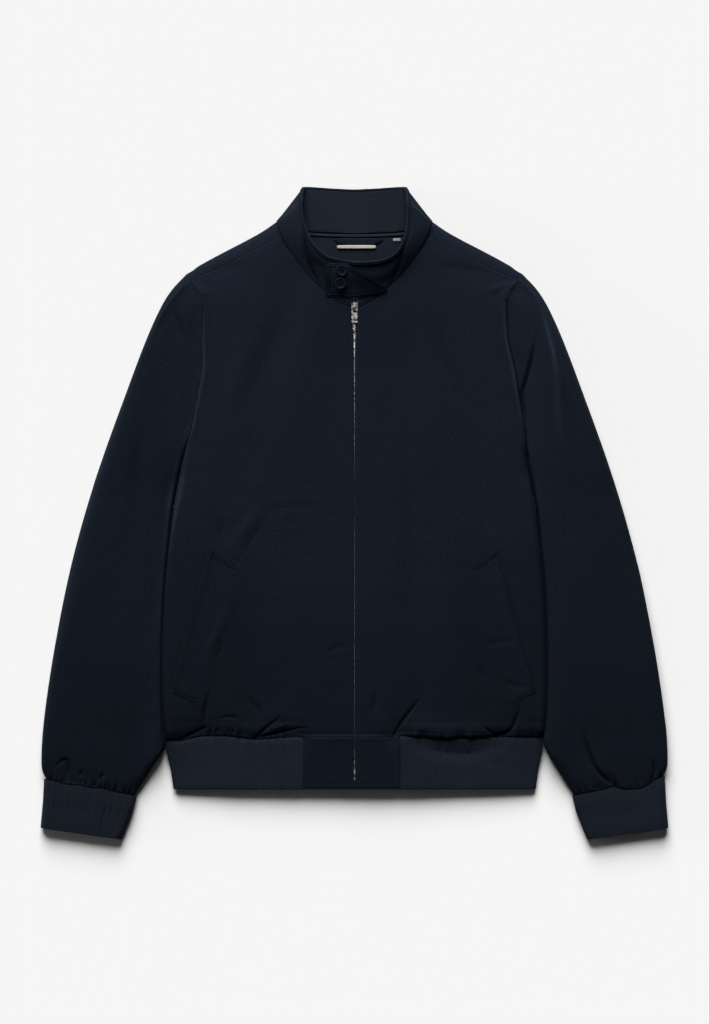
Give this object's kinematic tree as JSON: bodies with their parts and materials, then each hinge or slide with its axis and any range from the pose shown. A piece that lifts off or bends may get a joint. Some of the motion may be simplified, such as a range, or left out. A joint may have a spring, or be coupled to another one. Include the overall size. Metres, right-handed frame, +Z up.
{
  "type": "harrington jacket",
  "caption": "Navy stand-collar jacket with a zipped front, slanted welt pockets and knitted cuffs and hem, laid flat with its front up.",
  "frame": {"origin": "bottom centre of the bounding box, on the surface that the jacket lies on", "axes": "+X to the viewer's right (the wearer's left), +Y up the body from the hem to the collar, +Z up from the surface through the front"},
  "size_m": [0.7524, 0.782, 0.0466],
  "materials": {
    "navy_cloth": "matt fine twill",
    "navy_rib": "rib knit",
    "navy_lining": "smooth woven",
    "piping": "smooth woven",
    "zip_metal": "polished",
    "button_plastic": "semi-gloss",
    "label_dark": "woven",
    "label_cream": "woven",
    "label_grey": "woven"
  },
  "bodies": {
    "jacket": {"back": "navy_cloth", "front_right": "navy_cloth", "front_left": "navy_cloth", "sleeve_top_right": "navy_cloth", "sleeve_top_left": "navy_cloth", "sleeve_under_right": "navy_cloth", "sleeve_under_left": "navy_cloth", "cuff_right": "navy_rib", "cuff_left": "navy_rib", "hem_rib": "navy_rib", "collar": "navy_cloth", "collar_rib": "navy_rib", "throat_tab": "navy_cloth", "button_upper": "button_plastic", "button_lower": "button_plastic", "welt_right": "navy_cloth", "welt_left": "navy_cloth", "zip_tape_right": "navy_lining", "zip_tape_left": "navy_lining", "zip_chain": "zip_metal", "zip_box": "zip_metal", "zip_slider": "zip_metal", "neck_facing": "navy_lining", "neck_piping": "piping", "label_patch": "label_dark", "label_bar": "label_cream", "size_tab": "label_grey"},
    "zip_pull_tab": {"zip_pull": "zip_metal"}
  },
  "joints": [
    {"name": "pull_hinge", "type": "hinge", "parent": "jacket", "child": "zip_pull_tab", "pos_m": [0, 0.2462, 0.02813], "axis": [-1, 0, 0], "range_deg": [0, 120]}
  ]
}
